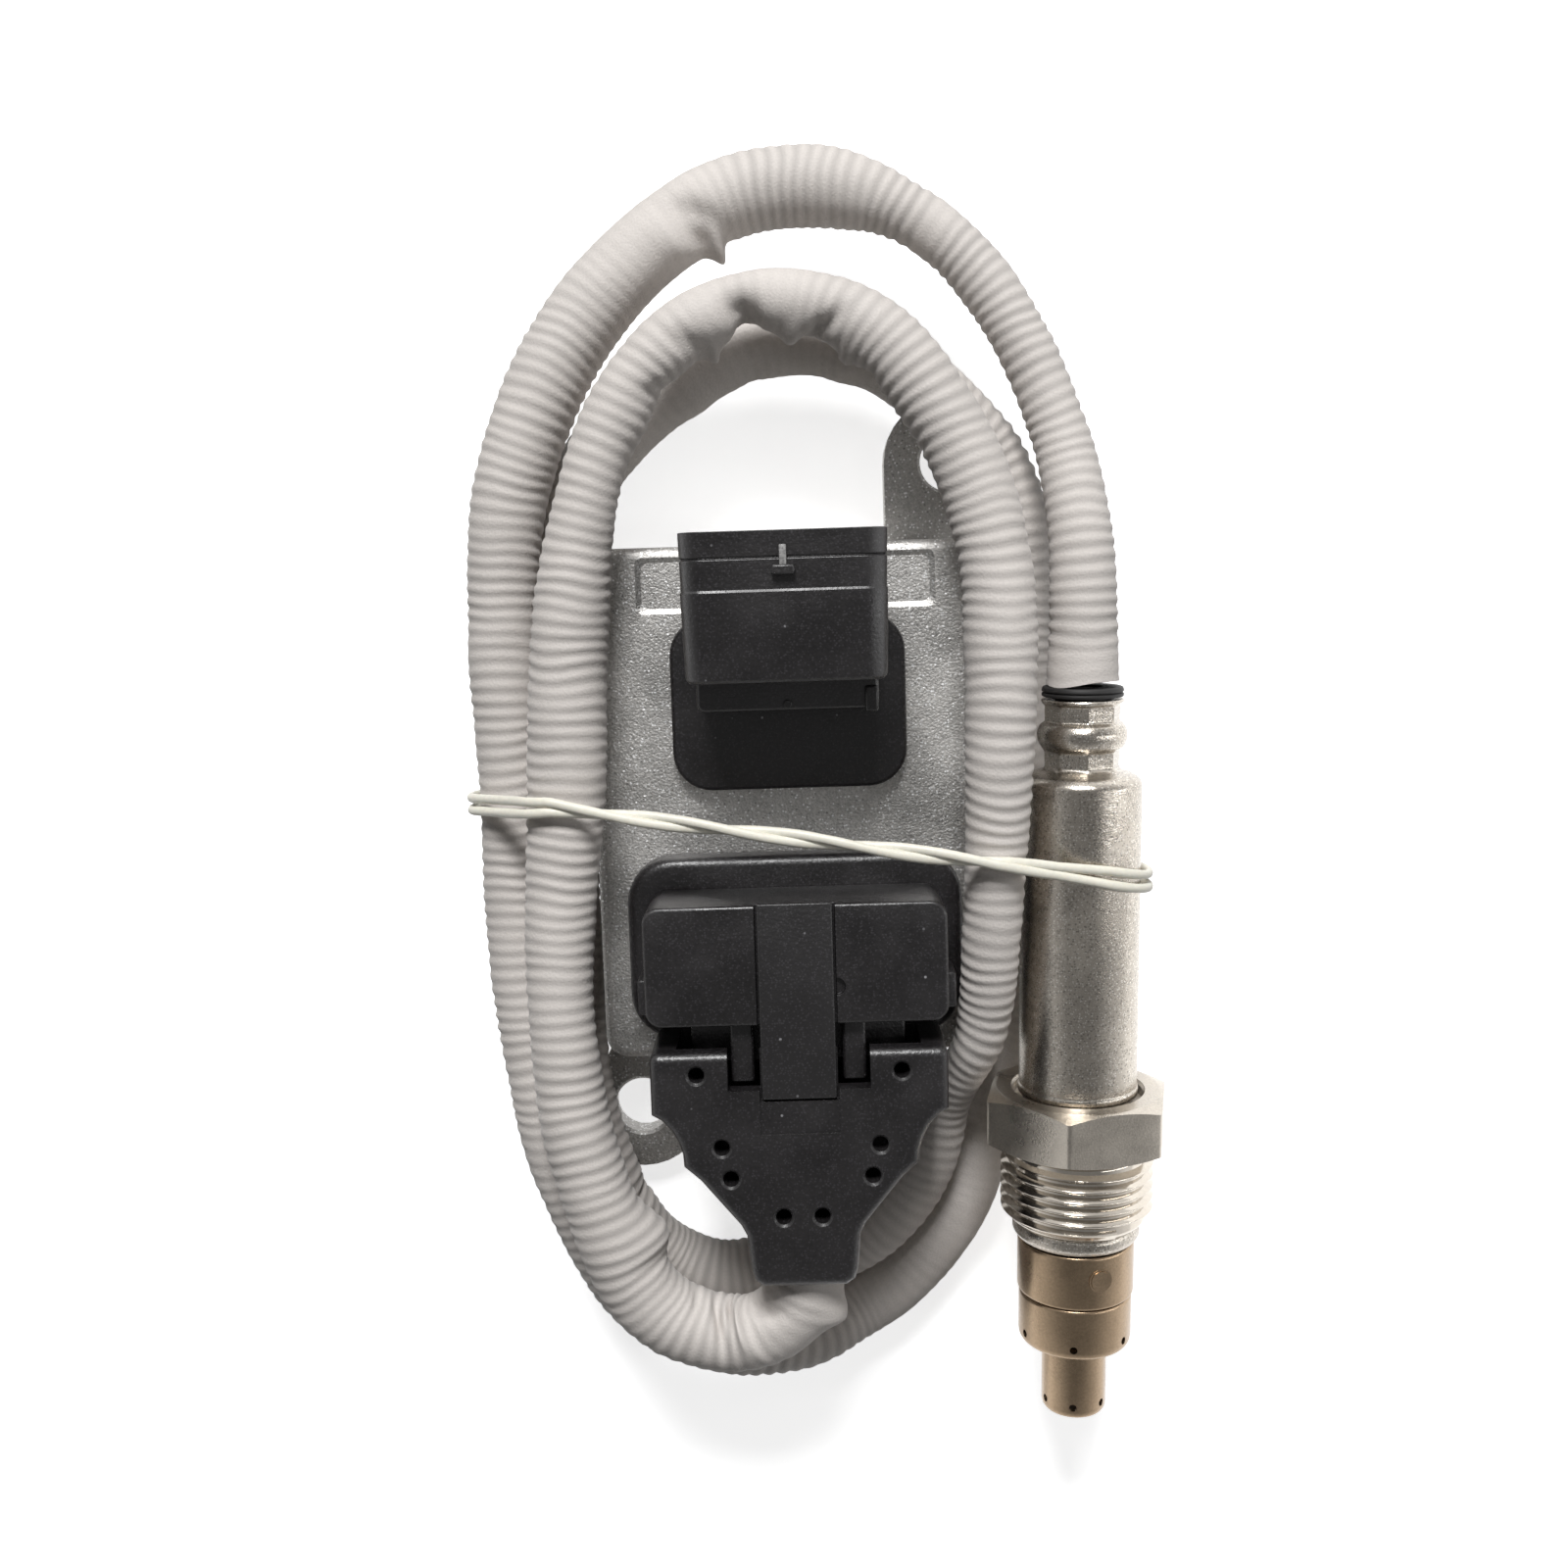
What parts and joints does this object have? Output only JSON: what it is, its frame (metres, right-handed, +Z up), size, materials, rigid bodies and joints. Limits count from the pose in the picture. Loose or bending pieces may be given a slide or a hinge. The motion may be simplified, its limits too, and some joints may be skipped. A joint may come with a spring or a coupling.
{
  "type": "nitrogen oxide sensor",
  "caption": "Exhaust nitrogen oxide sensor: cast control unit with two connectors, long coiled sleeve cable and threaded steel probe, bundled with an elastic band.",
  "frame": {"origin": "centre of the rigid pieces' footprint at the level of the two ear pads' undersides", "axes": "+Z up out of the table, away from the ear pads; +Y along the probe from its tip to its cable end and out of the harness socket; +X from the control unit towards the probe"},
  "size_m": [0.0898, 0.1658, 0.039],
  "materials": {
    "cast_aluminium": "sand-blasted die-cast aluminium",
    "sheet_aluminium": "plain rolled sheet",
    "black_plastic": "fine grained glass-filled black",
    "black_rubber": "matt black",
    "seal_silicone": "satin red-brown silicone",
    "board_laminate": "green solder mask",
    "chip_resin": "moulded black resin",
    "capacitor_can": "drawn can",
    "tinned_contact": "tinned copper alloy",
    "zinc_screw": "zinc plated",
    "satin_stainless": "bead-blasted satin",
    "machined_stainless": "turned, bright",
    "heat_tinted_nickel": "smooth, warm brown tint",
    "white_ceramic": "fired alumina, unglazed",
    "pressed_talc": "pressed powder",
    "grey_silicone_sleeve": "matt corrugated fabric-like silicone",
    "ivory_elastic": "matt elastic cord",
    "wire_insulation": "smooth insulation"
  },
  "bodies": {
    "sensor": {"back_cover": "sheet_aluminium", "board_capacitor_a": "capacitor_can", "board_capacitor_b": "capacitor_can", "board_screw_a": "zinc_screw", "board_screw_b": "zinc_screw", "board_screw_c": "zinc_screw", "board_screw_d": "zinc_screw", "cable_sleeve": "grey_silicone_sleeve", "circuit_board": "board_laminate", "contact_holder": "white_ceramic", "contact_spring_a": "tinned_contact", "contact_spring_b": "tinned_contact", "cover_gasket": "seal_silicone", "driver_chip": "chip_resin", "gas_shield": "heat_tinted_nickel", "harness_blade_1": "tinned_contact", "harness_blade_2": "tinned_contact", "harness_blade_3": "tinned_contact", "harness_blade_4": "tinned_contact", "harness_blade_5": "tinned_contact", "harness_connector": "black_plastic", "harness_flange_seal": "seal_silicone", "header_flange_seal": "seal_silicone", "header_pin_1": "tinned_contact", "header_pin_2": "tinned_contact", "header_pin_3": "tinned_contact", "header_pin_4": "tinned_contact", "header_pin_5": "tinned_contact", "header_pin_6": "tinned_contact", "header_pin_7": "tinned_contact", "header_pin_8": "tinned_contact", "latch_strip": "black_plastic", "lead_bundle": "wire_insulation", "lower_bush": "white_ceramic", "outer_collar": "heat_tinted_nickel", "plug_contact_1": "tinned_contact", "plug_contact_2": "tinned_contact", "plug_contact_3": "tinned_contact", "plug_contact_4": "tinned_contact", "plug_contact_5": "tinned_contact", "plug_contact_6": "tinned_contact", "plug_contact_7": "tinned_contact", "plug_contact_8": "tinned_contact", "plug_housing": "black_plastic", "plug_seal": "seal_silicone", "probe_body": "satin_stainless", "probe_grommet": "black_rubber", "processor_chip": "chip_resin", "sensing_element": "white_ceramic", "sensor_header": "black_plastic", "strain_relief_cover": "black_plastic", "talc_ring": "pressed_talc", "tie_band": "ivory_elastic", "tip_tube": "heat_tinted_nickel", "unit_housing": "cast_aluminium", "upper_bush": "white_ceramic", "upper_shell": "satin_stainless"},
    "nut": {"swivel_nut": "machined_stainless"}
  },
  "joints": [
    {"name": "nut_spin", "type": "hinge", "parent": "sensor", "child": "nut", "pos_m": [0.03339, -0.03158, 0.02032], "axis": [-0.0164, -0.9993, -0.0349], "continuous": true}
  ]
}
